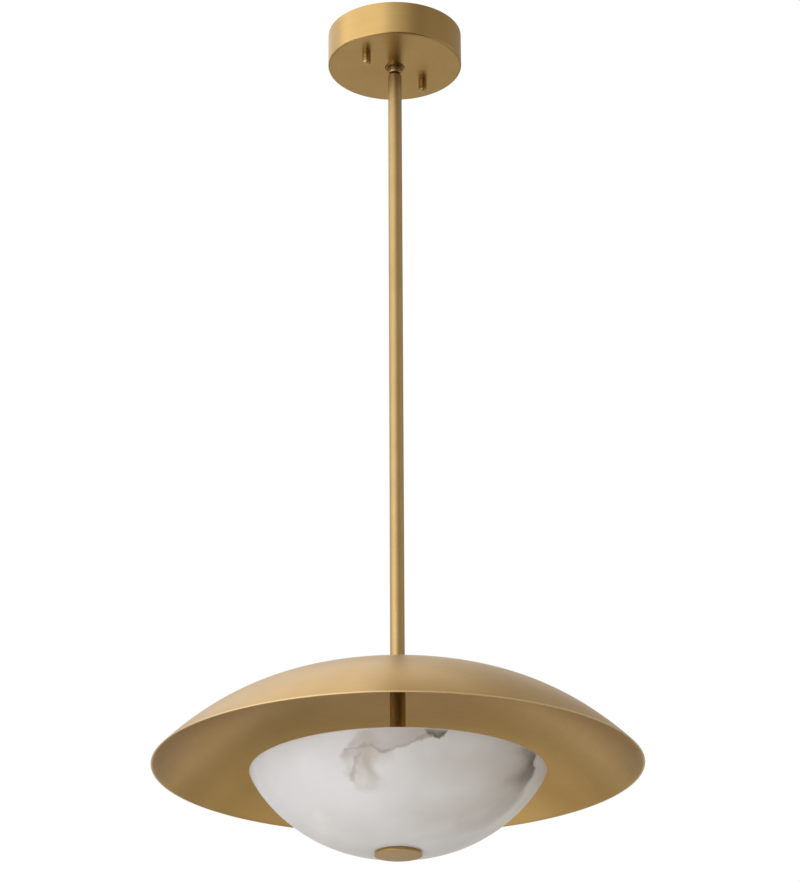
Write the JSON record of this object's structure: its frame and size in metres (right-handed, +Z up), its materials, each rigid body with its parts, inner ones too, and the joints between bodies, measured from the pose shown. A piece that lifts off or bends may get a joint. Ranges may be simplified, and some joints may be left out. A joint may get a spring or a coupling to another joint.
{
  "type": "pendant light",
  "caption": "Ceiling pendant with a round canopy, ball swivel and straight stem, a wide shallow metal shade, and a stone bowl under it held up by a screwed disc finial.",
  "frame": {"origin": "in the ceiling plane, on the axis of the canopy, midway between the mounting plate's two slots", "axes": "+Z up into the ceiling, along the stem; +X along the line of the slots; -Y towards the viewer"},
  "size_m": [0.43, 0.4299, 0.8143],
  "materials": {
    "satin_brass": "satin brushed, lightly aged",
    "plain_brass": "turned",
    "zinc_steel": "zinc plated",
    "green_steel": "green finish of an earth screw",
    "alabaster": "satin polished, veined",
    "white_ceramic": "unglazed",
    "frosted_glass": "frosted",
    "white_plastic": "moulded",
    "black_rubber": "cut sheet"
  },
  "bodies": {
    "ceiling_mount": {"mounting_plate": "zinc_steel", "canopy_studs": "zinc_steel", "stud_lock_nuts": "zinc_steel", "canopy_nut_1": "satin_brass", "canopy_nut_2": "satin_brass", "earth_screw": "green_steel", "terminal_block": "white_plastic", "terminal_tubes": "plain_brass", "terminal_screws": "zinc_steel", "block_screws": "zinc_steel", "canopy": "satin_brass", "swivel_seat": "satin_brass", "key_pin": "zinc_steel"},
    "swivel_key": {"swivel_key": "zinc_steel"},
    "stem": {"swivel_ball": "satin_brass", "neck_collar": "satin_brass", "neck_nipple": "plain_brass", "stem_tube": "satin_brass", "shade": "satin_brass", "shade_nipple": "zinc_steel", "shade_washer": "zinc_steel", "shade_lock_washer": "zinc_steel", "shade_nut": "zinc_steel", "lower_stem": "satin_brass", "lamp_hub": "satin_brass", "hub_cover": "satin_brass", "hub_lock_washer": "zinc_steel", "hub_nut": "zinc_steel", "bowl_nipple": "zinc_steel", "lamp_socket_1": "white_ceramic", "lamp_socket_2": "white_ceramic", "lamp_socket_3": "white_ceramic", "bulb_1": "frosted_glass", "bulb_2": "frosted_glass", "bulb_3": "frosted_glass", "bulb_pins": "zinc_steel", "socket_nuts": "zinc_steel", "bowl_stop_nut": "zinc_steel", "clamp_plate": "satin_brass", "clamp_gasket": "black_rubber"},
    "bowl": {"alabaster_bowl": "alabaster", "bowl_bush": "white_plastic", "finial_gasket": "black_rubber"},
    "finial": {"finial": "satin_brass"}
  },
  "joints": [
    {"name": "swing_sideways", "type": "hinge", "parent": "ceiling_mount", "child": "swivel_key", "pos_m": [0, 0, -0.031], "axis": [0, 1, 0], "range_deg": [-20, 20]},
    {"name": "swing_fore_aft", "type": "hinge", "parent": "swivel_key", "child": "stem", "pos_m": [0, 0, -0.031], "axis": [1, 0, 0], "range_deg": [-20, 20]},
    {"name": "bowl_lower", "type": "slide", "parent": "stem", "child": "bowl", "axis": [0, 0, -1], "range_m": [0, 0.006]},
    {"name": "finial_turn", "type": "hinge", "parent": "bowl", "child": "finial", "pos_m": [0, 0, -0.812], "axis": [0, 0, -1], "range_deg": [0, 2160]}
  ],
  "couplings": [
    {"joint": "finial_turn", "follows": "bowl_lower", "rad_per_m": 6283.2}
  ]
}
